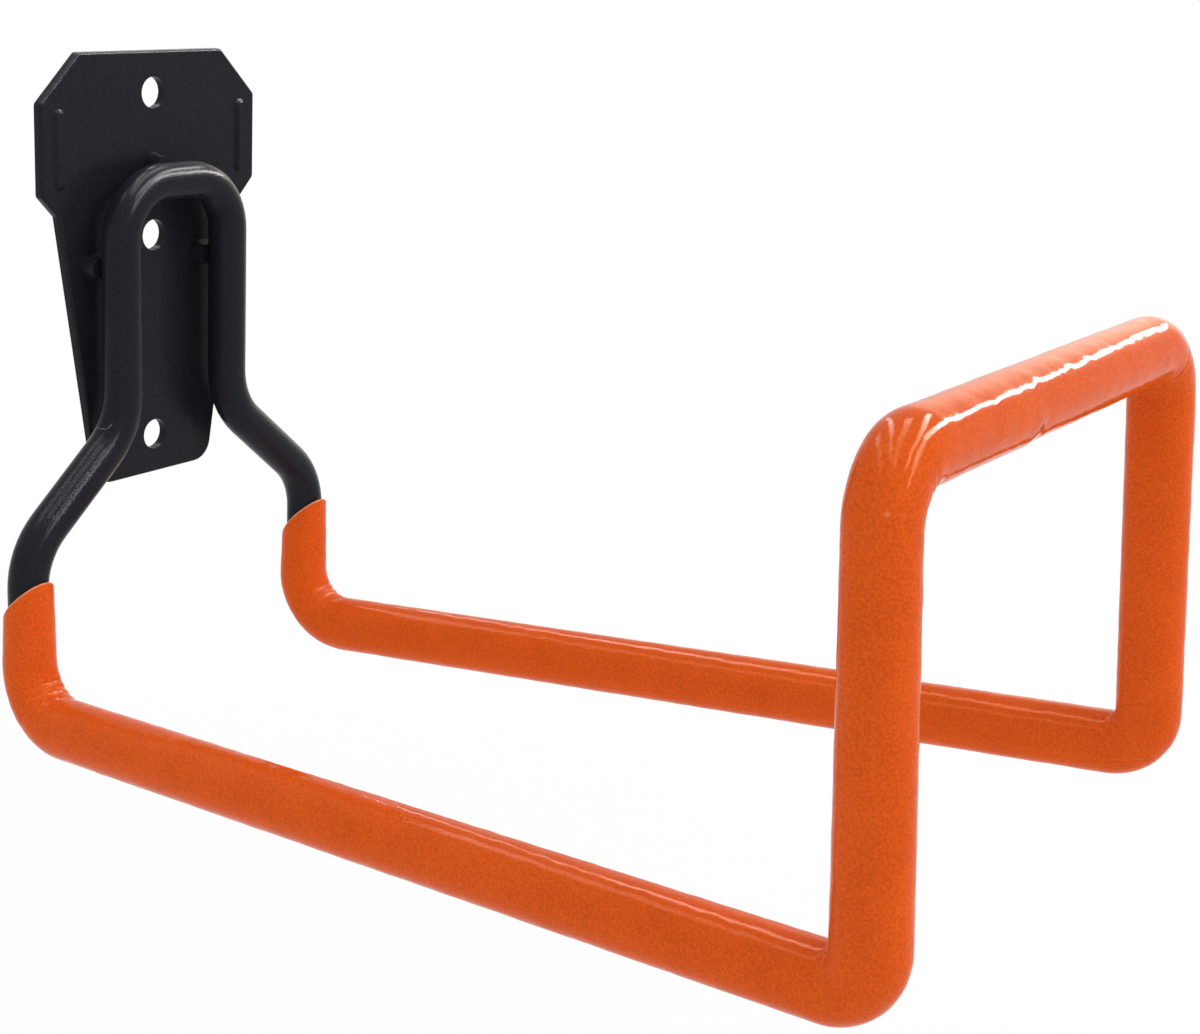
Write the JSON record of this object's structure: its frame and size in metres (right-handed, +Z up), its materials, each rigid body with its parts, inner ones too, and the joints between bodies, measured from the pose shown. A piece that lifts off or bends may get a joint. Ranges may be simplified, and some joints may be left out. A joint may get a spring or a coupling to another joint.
{
  "type": "garage hook",
  "caption": "Wall hook bent from one steel tube welded to a stamped screw plate, its long arms and raised front bar dipped in thick orange vinyl to carry bulky garage gear.",
  "frame": {"origin": "on the wall, at the plate's back face, halfway between its top and bottom screw holes", "axes": "+Z up, +Y into the wall, +X to the right along the wall; the hook reaches out towards -Y"},
  "size_m": [0.1618, 0.2627, 0.1705],
  "materials": {
    "black_powder_coat": "fine-textured satin black powder coat",
    "orange_vinyl": "glossy dipped orange vinyl"
  },
  "bodies": {
    "root": {"back_plate": "black_powder_coat", "hook_tube": "black_powder_coat", "grip_coating": "orange_vinyl"}
  },
  "joints": []
}
